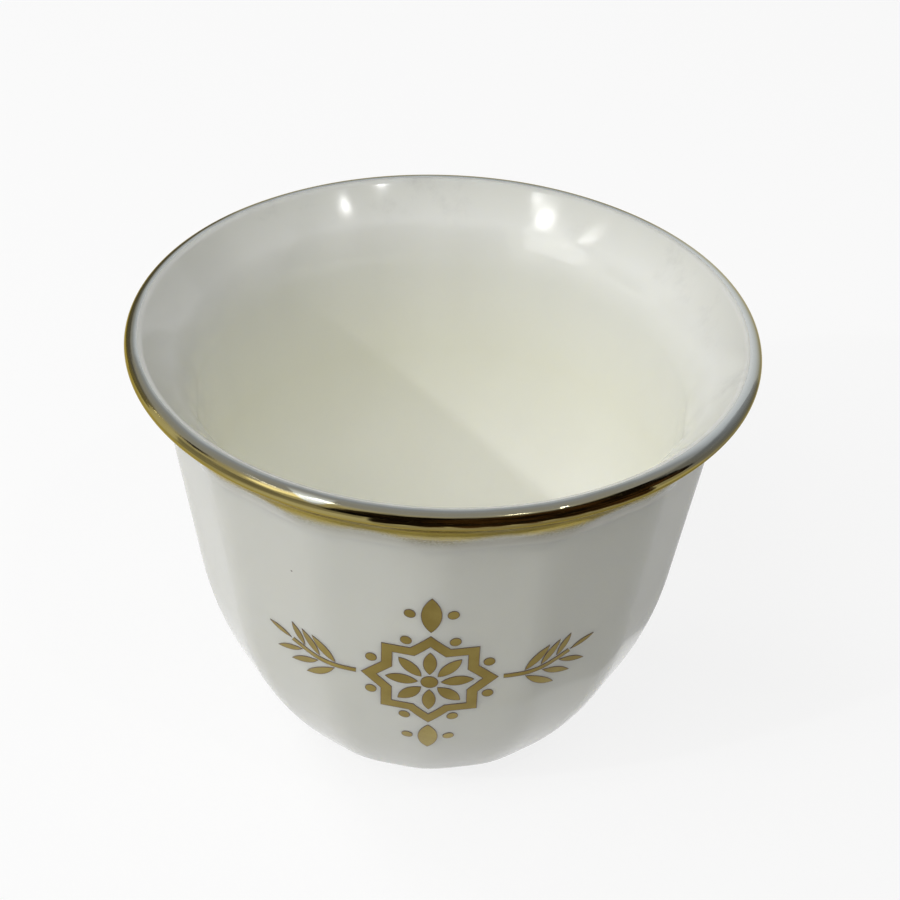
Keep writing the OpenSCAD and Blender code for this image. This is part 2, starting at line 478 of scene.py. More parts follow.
def dress(piece: bpy.types.Object, node: str, finish: bpy.types.Material) -> None:
    """Gives a piece its finish and lets it stand for a CAD node."""
    piece.data.materials.append(finish)
    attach(piece, BODY)
    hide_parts(node)
    LOG.info("%s: %d faces, stands for %s", piece.name, len(piece.data.polygons), node)


# Finishes


class Graph:
    """Adds and links the nodes of one material."""

    def __init__(self, name: str) -> None:
        """Starts an empty material of that name with a Principled shader."""
        self.material = bpy.data.materials.new(name)
        self.material.use_nodes = True
        self.tree = self.material.node_tree
        self.tree.nodes.clear()
        self.shader = self.add("ShaderNodeBsdfPrincipled")
        self.output = self.add("ShaderNodeOutputMaterial")
        self.put(self.output.inputs["Surface"], self.shader.outputs["BSDF"])
        self.place = self.add("ShaderNodeTexCoord").outputs["Object"]

    def put(self, socket: Socket, value: SocketValue) -> None:
        """Links a socket to another one, or sets its value."""
        if isinstance(value, Socket):
            self.tree.links.new(value, socket)
        elif isinstance(value, tuple) and len(value) == 3 and socket.type == "RGBA":
            socket.default_value = (*value, 1.0)
        else:
            socket.default_value = value

    def add(self, kind: str, inputs: dict[str | int, SocketValue] | None = None,
            **settings: str) -> bpy.types.Node:
        """Adds a node.

        Args:
            kind: Blender's name of the node's type.
            inputs: Values or links for its inputs, by name or number.
            **settings: Properties of the node.

        Returns:
            The new node.
        """
        node = self.tree.nodes.new(kind)
        for name, value in settings.items():
            setattr(node, name, value)
        for name, value in (inputs or {}).items():
            self.put(node.inputs[name], value)
        return node

    def set(self, **sockets: SocketValue) -> None:
        """Sets or links the shader's own sockets, with _ for each space in a name."""
        for name, value in sockets.items():
            self.put(self.shader.inputs[name.replace("_", " ")], value)

    def attribute(self, layer: Layer) -> Socket:
        """Returns a value that the mesh's points carry."""
        return self.add("ShaderNodeAttribute", attribute_name=layer.value).outputs["Fac"]

    def math(self, operation: str, a: SocketValue, b: SocketValue = 0.0) -> Socket:
        """Returns the result of one sum, by Blender's name of the operation."""
        return self.add("ShaderNodeMath", {0: a, 1: b}, operation=operation).outputs[0]

    def times(self, a: SocketValue, b: SocketValue) -> Socket:
        """Returns the product of two values."""
        return self.math("MULTIPLY", a, b)

    def plus(self, a: SocketValue, b: SocketValue) -> Socket:
        """Returns the sum of two values."""
        return self.math("ADD", a, b)

    def axis(self, number: int) -> Socket:
        """Returns one of the object's own coordinates: 0 for X, 1 for Y, 2 for Z."""
        return self.add("ShaderNodeSeparateXYZ", {0: self.place}).outputs[number]

    def noise(self, size: float, detail: float = 2.0, place: SocketValue | None = None,
              roughness: float = 0.5) -> Socket:
        """Returns a noise pattern.

        Args:
            size: Size of its largest features, in metres where place is in metres.
            detail: Number of finer layers.
            place: Coordinates, the object's own by default.
            roughness: Strength of the finer layers.

        Returns:
            The pattern's value, from about 0 to 1.
        """
        inputs = {"Vector": place or self.place, "Scale": 1 / size}
        inputs |= {"Detail": detail, "Roughness": roughness}
        return self.add("ShaderNodeTexNoise", inputs).outputs["Fac"]

    def span(self, value: SocketValue, low: float, high: float, to_low: float = 0.0,
             to_high: float = 1.0) -> Socket:
        """Returns a smooth step of a value between two levels, as a value in another range."""
        inputs = {"Value": value, "From Min": low, "From Max": high, "To Min": to_low, "To Max": to_high}
        return self.add("ShaderNodeMapRange", inputs, interpolation_type="SMOOTHSTEP").outputs["Result"]

    def mix(self, share: SocketValue, a: SocketValue, b: SocketValue) -> Socket:
        """Returns a blend of two colours."""
        node = self.add("ShaderNodeMix", data_type="RGBA")
        # A mix of colours keeps its share, first and second colour in these inputs
        for number, value in ((0, share), (6, a), (7, b)):
            self.put(node.inputs[number], value)
        return node.outputs[2]

    def ramp(self, value: SocketValue, stops: list[tuple[float, Colour]]) -> Socket:
        """Returns a colour that changes with a value, through the stops given."""
        node = self.add("ShaderNodeValToRGB", {0: value})
        elements = node.color_ramp.elements
        while len(elements) < len(stops):
            elements.new(1.0)
        for element, (position, colour) in zip(elements, stops):
            element.position = position
            element.color = (*colour, 1.0)
        return node.outputs["Color"]

    def bump(self, height: SocketValue, depth: float) -> None:
        """Lets a pattern of that depth in metres tilt the shader's normal."""
        node = self.add("ShaderNodeBump", {"Height": height, "Strength": 1.0, "Distance": depth})
        self.set(Normal=node.outputs["Normal"])

    def specks(self, cell: float, size_share: float, rarity: float) -> Socket:
        """Makes sparse round specks.

        Args:
            cell: Size of the cells that may hold a speck.
            size_share: Radius of a speck as a share of its cell.
            rarity: Share of the cells that stay empty.

        Returns:
            1 in a speck and 0 elsewhere.
        """
        cells = self.add("ShaderNodeTexVoronoi", {"Vector": self.place, "Scale": 1 / cell})
        chance = self.add("ShaderNodeSeparateColor", {0: cells.outputs["Color"]}).outputs[0]
        dot = self.span(cells.outputs["Distance"], size_share, size_share / 2)
        return self.times(dot, self.math("GREATER_THAN", chance, rarity))


@dataclass(frozen=True)
class PorcelainGlaze:
    """Clear glaze over white porcelain, with bare clay under the foot, and painted light and shade
    in its tones: a darker outside, a lighter flare, a creamy shaded bowl and a brighter floor in it.

    A span is the stretch of a pattern over which its mark comes in.
    """

    # Painted light and shade: the outside is the darkest tone, the flare a lighter one, the inside a
    # creamy tone of the shaded bowl, and the bowl's floor the brightest, where light falls
    outside: Colour = (0.745, 0.75, 0.69)
    flare: Colour = (0.83, 0.835, 0.785)
    inside: Colour = (0.845, 0.845, 0.75)
    lit_bowl_floor: Colour = (0.925, 0.925, 0.855)
    bare_clay: Colour = (0.70, 0.66, 0.58)
    bare_roughness: float = 0.5
    gloss: float = 0.09
    smudge_size: float = 0.014
    smudge_span: Span = (0.45, 0.8)
    smudge_gain: float = 2.2
    cloud_span: Span = (0.35, 0.75)
    cloud_share: float = 0.07
    ripple_size: float = 0.006
    ripple_depth: float = 0.000012
    glow_share: float = 0.6
    glow_depth: float = 0.0025
    glow_tint: Colour = (1.0, 0.97, 0.85)
    scuff: Colour = (0.40, 0.40, 0.39)
    scuff_heights: Span = (0.0455, 0.0505)
    scuff_size: float = 0.009
    scuff_span: Span = (0.52, 0.78)
    scuff_share: float = 0.42
    hairline_size: float = 0.03
    hairline_width: float = 0.0016
    hairline_patch_size: float = 0.012
    hairline_patch_span: Span = (0.58, 0.72)
    hairline_share: float = 0.2
    speck: Colour = (0.25, 0.23, 0.20)
    speck_cell: float = 0.0035
    speck_size_share: float = 0.045
    speck_rarity: float = 0.97

    def scuffs(self, graph: Graph) -> Socket:
        """Returns faint rubbing marks just below the lip."""
        near_lip = graph.span(graph.axis(2), *self.scuff_heights)
        pattern = graph.noise(self.scuff_size, detail=6.0, roughness=0.65)
        return graph.times(near_lip, graph.span(pattern, *self.scuff_span, 0.0, self.scuff_share))

    def hairlines(self, graph: Graph) -> Socket:
        """Returns short hair-thin lines in the glaze."""
        pattern = graph.noise(self.hairline_size, detail=1.0)
        off = graph.math("ABSOLUTE", graph.math("SUBTRACT", pattern, 0.5))
        patches = graph.noise(self.hairline_patch_size)
        sparse = graph.span(patches, *self.hairline_patch_span, 0.0, self.hairline_share)
        return graph.times(graph.span(off, self.hairline_width, 0.0), sparse)

    def colour(self, graph: Graph) -> Socket:
        """Returns the colour of the glaze, from its place on the cup."""
        # The inside share is 0 outside, 0.5 below the lip and 1 at the bowl's floor; the tones along it
        # are painted shade and light on the one glaze
        stops = [(0.0, self.outside), (0.5, self.flare), (0.75, self.inside), (1.0, self.lit_bowl_floor)]
        tone = graph.ramp(graph.attribute(Layer.INSIDE), stops)
        pattern = graph.noise(self.smudge_size, detail=4.0)
        cloud = graph.span(pattern, *self.cloud_span, 0.0, self.cloud_share)
        tone = graph.mix(cloud, tone, self.bare_clay)
        tone = graph.mix(self.scuffs(graph), tone, self.scuff)
        tone = graph.mix(self.hairlines(graph), tone, self.scuff)
        specks = graph.specks(self.speck_cell, self.speck_size_share, self.speck_rarity)
        tone = graph.mix(specks, tone, self.speck)
        return graph.mix(graph.attribute(Layer.BARE), tone, self.bare_clay)

    def build(self) -> bpy.types.Material:
        """Returns the finished material."""
        graph = Graph("porcelain_glaze")
        pattern = graph.noise(self.smudge_size, detail=5.0)
        smudge = graph.span(pattern, *self.smudge_span, self.gloss, self.smudge_gain * self.gloss)
        bare = graph.times(graph.attribute(Layer.BARE), self.bare_roughness)
        graph.set(
            Base_Color=self.colour(graph),
            Roughness=graph.plus(smudge, bare),
            IOR=GLASS_INDEX,
            Subsurface_Weight=self.glow_share,
            Subsurface_Radius=self.glow_tint,
            Subsurface_Scale=self.glow_depth)
        graph.bump(graph.noise(self.ripple_size), self.ripple_depth)
        return graph.material


@dataclass(frozen=True)
class BrightGold:
    """Brushed-on bright gold, thin and grey over the crest and speckled at its lower edge.

    A span is a stretch of the way across the band, from its start on the crest, or a stretch
    of a pattern. The gold thins out to the right over the thin side, from one X to another, and
    round a middle X left of the front it turns to a paler film, whose paleness paints part of the
    lip's highlight there. Below the gold's lower edge it leaves a painted shade of the hollow under
    the lip, tinted like thin gold. The fade levels are added to the grain.
    """

    glaze: PorcelainGlaze
    gold: Colour = (0.345, 0.29, 0.115)
    deep_gold: Colour = (0.265, 0.213, 0.08)
    pale_gold: Colour = (0.36, 0.325, 0.195)
    edge_gold: Colour = (0.70, 0.60, 0.33)
    # Painted shade of the hollow under the lip, tinted like thin gold, where the gold has gone
    painted_shade: Colour = (0.50, 0.495, 0.43)
    highlight_film: Colour = (0.42, 0.43, 0.38)
    film: tuple[tuple[float, Colour], ...] = (
        (0.015, (0.62, 0.65, 0.66)),
        (0.050, (0.42, 0.45, 0.46)),
        (0.085, (0.205, 0.215, 0.21)),
        (0.120, (0.20, 0.19, 0.145)),
    )
    metal_span: Span = (0.0075, 0.05)
    gold_span: Span = (0.138, 0.178)
    pale_span: Span = (0.5, 0.9)
    fade_span: Span = (0.68, 1.02)
    fade_levels: Span = (-0.35, 0.8)
    gone_span: Span = (0.2, 1.1)
    painted_shade_span: Span = (0.86, 1.07)
    thin_side: Span = (0.016, 0.031)
    thin_share: float = 0.45
    highlight_middle: float = -0.0115
    highlight_reach: float = 0.0055
    highlight_span: Span = (0.10, 0.14)
    highlight_end: float = 0.215
    highlight_fade: float = 0.03
    highlight_roughness: float = 0.16
    scallops: int = 15
    scallop_depth: float = 0.03
    uneven_size: float = 0.005
    uneven_share: float = 0.03
    gloss: float = 0.06
    sheen_span: Span = (0.3, 0.75)
    sheen_gain: float = 2.5
    streak_size: float = 0.012
    streaks_across: float = 22.0
    streak_span: Span = (0.35, 0.7)
    grain_size: float = 0.00022
    ripple_size: float = 0.0022
    ripple_share: float = 0.5
    bump_depth: float = 0.000026

    def streaks(self, graph: Graph, across: Socket) -> Socket:
        """Returns the brush's streaks, which run round the lip."""
        x, y = (graph.math("DIVIDE", graph.axis(i), self.streak_size) for i in (0, 1))
        z = graph.times(across, self.streaks_across)
        place = graph.add("ShaderNodeCombineXYZ", {0: x, 1: y, 2: z})
        return graph.noise(1.0, detail=3.0, place=place.outputs[0])

    def scallop(self, graph: Graph) -> Socket:
        """Returns the wave of the band's lower edge, which hangs lowest at the wall's ridges."""
        turn = graph.math("ARCTAN2", graph.axis(0), graph.times(graph.axis(1), -1.0))
        wave = graph.math("COSINE", graph.times(turn, float(self.scallops)))
        return graph.times(wave, -self.scallop_depth)

    def highlight_patch(self, graph: Graph, level: Socket) -> Socket:
        """Returns where the gold turns to a pale film on the crest left of the front, whose paleness
        paints part of the lip's highlight there.
        """
        aside = graph.math("ABSOLUTE", graph.math("SUBTRACT", graph.axis(0), self.highlight_middle))
        patch = graph.times(graph.span(aside, self.highlight_reach, 0.0), self.highlight_end)
        front = graph.math("LESS_THAN", graph.axis(1), 0.0)
        inner = graph.span(level, *self.highlight_span)
        outer = graph.span(graph.math("SUBTRACT", patch, level), 0.0, self.highlight_fade)
        return graph.times(front, graph.times(inner, outer))

    def metal_colour(self, graph: Graph, level: Socket, streaks: Socket) -> Socket:
        """Returns the colour of the gold, and of the grey film where it is thin."""
        thinness = graph.span(graph.axis(0), *self.thin_side, 1.0, self.thin_share)
        thin = graph.times(level, thinness)
        film = graph.ramp(thin, [(0.0, self.glaze.outside), *self.film])
        gold = graph.mix(graph.span(streaks, *self.streak_span), self.gold, self.deep_gold)
        gold = graph.mix(graph.span(level, *self.pale_span), gold, self.pale_gold)
        return graph.mix(graph.span(thin, *self.gold_span), film, gold)

    def gone(self, graph: Graph, level: Socket) -> Socket:
        """Returns how far the gold has gone, in specks along the band's lower edge."""
        lower = graph.plus(level, self.scallop(graph))
        grains = graph.noise(self.grain_size, roughness=0.7)
        fading = graph.plus(graph.span(lower, *self.fade_span, *self.fade_levels), grains)
        return graph.span(fading, *self.gone_span)

    def build(self) -> bpy.types.Material:
        """Returns the finished material."""
        graph = Graph("bright_gold")
        across = graph.attribute(Layer.ACROSS)
        streaks = self.streaks(graph, across)
        uneven = graph.math("SUBTRACT", graph.noise(self.uneven_size, detail=3.0), 0.5)
        level = graph.plus(across, graph.times(uneven, self.uneven_share))
        highlight_patch = self.highlight_patch(graph, level)
        # Painted highlight: a paler film on the crest where the lip's highlight falls
        colour = graph.mix(highlight_patch, self.metal_colour(graph, level, streaks), self.highlight_film)
        gone = self.gone(graph, level)
        # Where the gold has gone, painted shade of the hollow under the lip, tinted like thin gold, fades
        # into the glaze
        below = graph.mix(graph.span(level, *self.painted_shade_span), self.painted_shade, self.glaze.outside)
        metal = graph.span(level, *self.metal_span)
        sheen = graph.span(streaks, *self.sheen_span, self.gloss, self.sheen_gain * self.gloss)
        graph.set(
            Base_Color=graph.mix(gone, colour, below),
            Metallic=graph.times(metal, graph.math("SUBTRACT", 1.0, gone)),
            Roughness=graph.plus(sheen, graph.times(highlight_patch, self.highlight_roughness)),
            Specular_Tint=(*self.edge_gold, 1.0),
            IOR=GLASS_INDEX)
        ripple = graph.times(graph.noise(self.ripple_size), self.ripple_share)
        graph.bump(graph.plus(streaks, ripple), self.bump_depth)
        return graph.material


@dataclass(frozen=True)
class SatinGold:
    """Printed satin gold, fine-grained, with a thin darker line along its edges."""

    gold: Colour = (0.35, 0.275, 0.08)
    deep_gold: Colour = (0.26, 0.195, 0.05)
    edge: Colour = (0.16, 0.11, 0.10)
    edge_width: float = 0.00012
    gloss: float = 0.34
    sheen_span: Span = (0.3, 0.8)
    sheen_gain: float = 1.35
    cloud_size: float = 0.004
    cloud_span: Span = (0.3, 0.75)
    grain_size: float = 0.00025
    grain_span: Span = (0.5, 0.85)
    grain_share: float = 0.35
    bump_depth: float = 0.000006

    def build(self) -> bpy.types.Material:
        """Returns the finished material."""
        graph = Graph("satin_gold")
        grain = graph.noise(self.grain_size, detail=3.0, roughness=0.7)
        cloud = graph.noise(self.cloud_size, detail=3.0)
        gold = graph.mix(graph.span(cloud, *self.cloud_span), self.gold, self.deep_gold)
        deep = graph.span(grain, *self.grain_span, 0.0, self.grain_share)
        gold = graph.mix(deep, gold, self.deep_gold)
        line = graph.span(graph.attribute(Layer.EDGE), self.edge_width, 0.0)
        graph.set(
            Base_Color=graph.mix(line, gold, self.edge),
            Metallic=1.0,
            Roughness=graph.span(grain, *self.sheen_span, self.gloss, self.sheen_gain * self.gloss))
        graph.bump(grain, self.bump_depth)
        return graph.material


# Pieces of the cup


@dataclass
class CupBody:
    """The porcelain: wall, lip, inside and foot ring."""

    section: CupSection
    press: Press

    def build(self, finish: bpy.types.Material) -> BVHTree:
        """Builds and dresses the porcelain.

        Args:
            finish: The glaze.

        Returns:
            The finished surface, for what is laid on it.
        """
        bm = self.press.turn(self.section.whole())
        bm.verts.layers.float.remove(bm.verts.layers.float[Layer.ACROSS.value])
        surface = BVHTree.FromBMesh(bm)
        dress(make_object(bm, "porcelain_cup"), "cup_body", finish)
        return surface


@dataclass
class LipGilding:
    """The gold band, from the crest of the lip down to the neck, as a thin closed skin.

    Its finish counts the way across the band in shares of the reach.
    """

    section: CupSection
    press: Press
    depth: float = 0.0073
    reach: float = 0.00903
    start: float = math.radians(120)
    thickness: float = 0.00003
    sunk: float = 0.00002
    taper_share: float = 0.09

    def line(self) -> list[SectionPoint]:
        """Returns the section under the gold, from the crest down to its lower edge."""
        lip, flare = self.section.lip, self.section.flare
        rise = self.section.height - self.depth - flare.middle.y
        lower = math.pi - math.asin(rise / flare.radius)
        steps = self.section.lip_steps
        points = []
        for i in range(steps):
            angle = self.start + (lip.start - self.start) * i / steps
            points.append(SectionPoint(*lip.at(angle)))
        for i in range(steps + 1):
            angle = flare.end + (lower - flare.end) * i / steps
            points.append(self.section.outer_point(*flare.at(angle)))
        return points

    def loop(self) -> list[SectionPoint]:
        """Returns the closed section of the skin, which thins out under the glaze at its edges."""
        line = self.line()
        lengths = [0.0]
        for before, after in zip(line, line[1:]):
            lengths.append(lengths[-1] + (after.place - before.place).length)
        outer, inner = [], []
        for point, length in zip(line, lengths):
            share = length / lengths[-1]
            full = ease(0.0, self.taper_share, min(share, 1 - share))
            lift = full * self.thickness - (1 - full) * self.sunk
            common = {"panel_depth": point.panel_depth, "across": length / self.reach}
            outer.append(SectionPoint(point.place + lift * point.outward, point.outward, **common))
            under = point.place - 2 * self.sunk * point.outward
            inner.append(SectionPoint(under, point.outward, **common))
        return outer + inner[::-1]

    def build(self, finish: bpy.types.Material) -> None:
        """Builds and dresses the band."""
        bm = self.press.turn(self.loop(), closed=True)
        for layer in (Layer.INSIDE, Layer.BARE):
            bm.verts.layers.float.remove(bm.verts.layers.float[layer.value])
        dress(make_object(bm, "lip_band"), "lip_gilding", finish)


Drawing = Callable[[float, float], tuple[Vector, float]]


class Motif:
    """Flat drawing made of patches, which is then laid on the front of the cup as thin gold.

    Each grid is the number of faces along a patch and across it.
    """

    LEAF_GRID: tuple[int, int] = (16, 6)
    DISC_GRID: tuple[int, int] = (32, 4)
    SIDE_GRID: tuple[int, int] = (8, 4)
    STEM_GRID: tuple[int, int] = (16, 2)
    MERGE_DISTANCE: float = 1e-6
    CAST_FROM_Y: float = -1.0

    def __init__(self) -> None:
        """Starts with nothing drawn."""
        self.bm = bmesh.new()
        self.edge = self.bm.verts.layers.float.new(Layer.EDGE.value)

    def patch(self, along: int, across: int, drawing: Drawing) -> None:
        """Draws one patch from a grid.

        Args:
            along: Faces along the patch.
            across: Faces across it.
            drawing: Gives the point and its distance from the patch's edge, from a share of
                the way along, 0 to 1, and one across, -1 to 1.
        """
        grid = bmesh.ops.create_grid(self.bm, x_segments=along, y_segments=across, size=1.0)
        for vert in grid["verts"]:
            spot, inset = drawing((vert.co.x + 1) / 2, vert.co.y)
            vert.co = (spot.x, 0.0, spot.y)
            vert[self.edge] = inset

    def leaf(self, start: Vector, turn: float, length: float, width: float) -> None:
        """Draws a pointed leaf between two arcs, from a point in a direction."""
        radius = (length ** 2 + width ** 2) / (4 * width)
        along = Vector((math.cos(turn), math.sin(turn)))
        aside = Vector((-along.y, along.x))

        def drawing(u: float, v: float) -> tuple[Vector, float]:
            """Returns a point of the leaf."""
            run = length * (u - 0.5)
            half = max(math.sqrt(radius ** 2 - run ** 2) - radius + width / 2, 0.0)
            return start + along * (length * u) + aside * (half * v), half * (1 - abs(v))

        self.patch(*self.LEAF_GRID, drawing)

    def disc(self, middle: Vector, radius: float) -> None:
        """Draws a disc."""

        def drawing(u: float, v: float) -> tuple[Vector, float]:
            """Returns a point of the disc."""
            out = radius * (v + 1) / 2
            ray = Vector((math.cos(FULL_TURN * u), math.sin(FULL_TURN * u)))
            return middle + ray * out, radius - out

        self.patch(*self.DISC_GRID, drawing)

    def lay(self, surface: BVHTree, height: float, thickness: float, sunk: float) -> bmesh.types.BMesh:
        """Lays the drawing on the cup's front and gives it its thickness.

        Args:
            surface: The porcelain's surface.
            height: Height of the drawing's middle.
            thickness: How far the gold stands above the glaze.
            sunk: How far its underside reaches below.

        Returns:
            The finished form.
        """
        bm = self.bm
        bmesh.ops.remove_doubles(bm, verts=bm.verts, dist=self.MERGE_DISTANCE)
        for vert in bm.verts:
            eye = Vector((vert.co.x, self.CAST_FROM_Y, vert.co.z + height))
            spot, out, _, _ = surface.ray_cast(eye, Vector((0, 1, 0)))
            vert.co = spot + thickness * out
        bmesh.ops.recalc_face_normals(bm, faces=bm.faces)
        # Every patch has to face the front before it is thickened inwards
        for face in bm.faces:
            if face.normal.y > 0:
                face.normal_flip()
        bmesh.ops.solidify(bm, geom=bm.faces, thickness=thickness + sunk)
        bmesh.ops.recalc_face_normals(bm, faces=bm.faces)
        return bm


@dataclass
class Ornament:
    """Gold ornament on the front: a star with a flower, leaves, beads and two sprays."""

    surface: BVHTree
    height: float = 0.0252
    star_radius: float = 0.007
    star_line: float = 0.00115
    petal_tip_gap: float = 0.00085
    flower_middle_radius: float = 0.0009
    gap: float = 0.0005
    bead_radius: float = 0.0006
    tip_leaf_length: float = 0.005
    leaf_width_share: float = 0.42
    stem_length: float = 0.0068
    stem_curve_radius: float = 0.016
    stem_width: float = 0.0006
    leaf_pairs: int = 3
    leaf_length: float = 0.0043
    leaf_angle: float = math.radians(45)
    leaf_gap: float = 0.00015
    small_leaf_share: float = 0.6
    thickness: float = 0.00005
    sunk: float = 0.00003
    points: int = 8
    sharp_angle: float = math.radians(40)

    def spot(self, angle: float, radius: float) -> Vector:
        """Returns a point of the drawing from its angle and its distance to the middle."""
        return Vector((radius * math.cos(angle), radius * math.sin(angle)))

    @property
    def notch_share(self) -> float:
        """Radius of the star's notches as a share of its points' radius."""
        return math.cos(math.pi / 4) / math.cos(math.pi / self.points)

    @property
    def inner_radius(self) -> float:
        """Radius of the points of the star's inner outline."""
        return self.star_radius - self.star_line / math.cos(math.pi / 4)

    def star_band(self) -> Motif:
        """Draws the star's outline, side by side."""
        motif = Motif()

        def corner(number: int, radius: float) -> Vector:
            """Returns a point of the star, or a notch where the number is odd."""
            share = self.notch_share if number % 2 else 1.0
            return self.spot(number * math.pi / self.points, radius * share)

        for side in range(2 * self.points):
            radii = (self.inner_radius, self.star_radius)
            ends = [[corner(side + i, radius) for radius in radii] for i in (0, 1)]

            def drawing(u: float, v: float) -> tuple[Vector, float]:
                """Returns a point of one side."""
                low, high = (ends[0][i].lerp(ends[1][i], u) for i in (0, 1))
                return low.lerp(high, (v + 1) / 2), self.star_line * (1 - abs(v)) / 2

            motif.patch(*motif.SIDE_GRID, drawing)
        return motif

    def star_flower(self) -> Motif:
        """Draws the flower inside the star."""
        motif = Motif()
        motif.disc(Vector((0, 0)), self.flower_middle_radius)
        start = self.flower_middle_radius + self.gap / 2
        length = self.inner_radius - self.petal_tip_gap - start
        for petal in range(self.points):
            angle = petal * FULL_TURN / self.points
            motif.leaf(self.spot(angle, start), angle, length, length * self.leaf_width_share)
        return motif

    def tip_leaves(self) -> Motif:
        """Draws the upright leaves above and below the star."""
        motif = Motif()
        for angle in (math.pi / 2, -math.pi / 2):
            start = self.spot(angle, self.star_radius + self.gap)
            motif.leaf(start, angle, self.tip_leaf_length, self.tip_leaf_length * self.leaf_width_share)
        return motif

    def beads(self) -> Motif:
        """Draws the beads in the star's notches and beside the upright leaves."""
        motif = Motif()
        ring = self.star_radius * self.notch_share + self.gap + self.bead_radius
        for bead in range(self.points):
            motif.disc(self.spot((bead + 0.5) * FULL_TURN / self.points, ring), self.bead_radius)
        aside = self.bead_radius + self.gap + self.tip_leaf_length * self.leaf_width_share / 2
        away = self.star_radius + self.gap + self.tip_leaf_length / 2
        for x in (-aside, aside):
            for y in (-away, away):
                motif.disc(Vector((x, y)), self.bead_radius)
        return motif

    def spray(self, side: Side) -> Motif:
        """Draws a stem with its leaves on one side of the star."""
        motif = Motif()
        sign = side.value
        start = self.star_radius + self.gap

        def stem(share: float, aside: float = 0.0) -> Vector:
            """Returns a point beside the stem at a share of its length."""
            bend = share * self.stem_length / self.stem_curve_radius
            radius = self.stem_curve_radius - aside
            spot = Vector((radius * math.sin(bend), self.stem_curve_radius - radius * math.cos(bend)))
            return Vector((sign * (start + spot.x), spot.y))

        def strip(u: float, v: float) -> tuple[Vector, float]:
            """Returns a point of the stem's strip."""
            half = self.stem_width / 2
            return stem(u, half * v), half * (1 - abs(v))

        motif.patch(*motif.STEM_GRID, strip)
        spacing = self.stem_length / (self.leaf_pairs + 1)
        width = spacing * math.sin(self.leaf_angle) - self.leaf_gap
        away = (self.stem_width / 2 + self.leaf_gap) / math.sin(self.leaf_angle)
        leaves = [
            (pair / (self.leaf_pairs + 1), turn, away)
            for pair in range(1, self.leaf_pairs + 1)
            for turn in (-self.leaf_angle, self.leaf_angle)]
        for share, turn, begin in [*leaves, (1.0, 0.0, self.leaf_gap)]:
            size = 1 - (1 - self.small_leaf_share) * share
            angle = share * self.stem_length / self.stem_curve_radius + turn
            angle = angle if side is Side.RIGHT else math.pi - angle
            base = stem(share) + self.spot(angle, begin)
            motif.leaf(base, angle, self.leaf_length * size, width * size)
        return motif

    def build(self, finish: bpy.types.Material) -> None:
        """Builds, lays on and dresses every motif."""
        motifs = {
            "star_outline": ("star_band", self.star_band()),
            "flower_petals": ("star_flower", self.star_flower()),
            "upright_leaves": ("tip_leaves", self.tip_leaves()),
            "gold_beads": ("beads", self.beads()),
            "leaf_spray_left": ("left_spray", self.spray(Side.LEFT)),
            "leaf_spray_right": ("right_spray", self.spray(Side.RIGHT)),
        }
        for name, (node, motif) in motifs.items():
            bm = motif.lay(self.surface, self.height, self.thickness, self.sunk)
            dress(make_object(bm, name, self.sharp_angle), node, finish)


# Studio


@dataclass(frozen=True)
class Lamp:
    """One lamp that shines on the cup: a disc, or an ellipse where it has a length.

    Azimuth and elevation are degrees as seen from the cup, with azimuth 0 at its front. A lamp
    that isn't mirrored stays out of reflections.
    """

    name: str
    azimuth: float
    elevation: float
    size: float
    power: float
    length: float = 0.0
    mirrored: bool = True
    distance: float = 0.9

    def build(self, aim: Vector) -> None:
        """Hangs the lamp round the point it shines at."""
        data = bpy.data.lights.new(self.name, "AREA")
        data.shape = "ELLIPSE"
        data.size = self.length or self.size
        data.size_y = self.size
        data.energy = self.power
        turn, rise = math.radians(self.azimuth), math.radians(self.elevation)
        flat = math.cos(rise)
        ray = Vector((math.sin(turn) * flat, -math.cos(turn) * flat, math.sin(rise)))
        lamp = bpy.data.objects.new(self.name, data)
        lamp.location = aim + ray * self.distance
        lamp.rotation_mode = "QUATERNION"
        lamp.rotation_quaternion = ray.to_track_quat("Z", "Y")
        lamp.visible_glossy = self.mirrored
        bpy.context.scene.collection.objects.link(lamp)


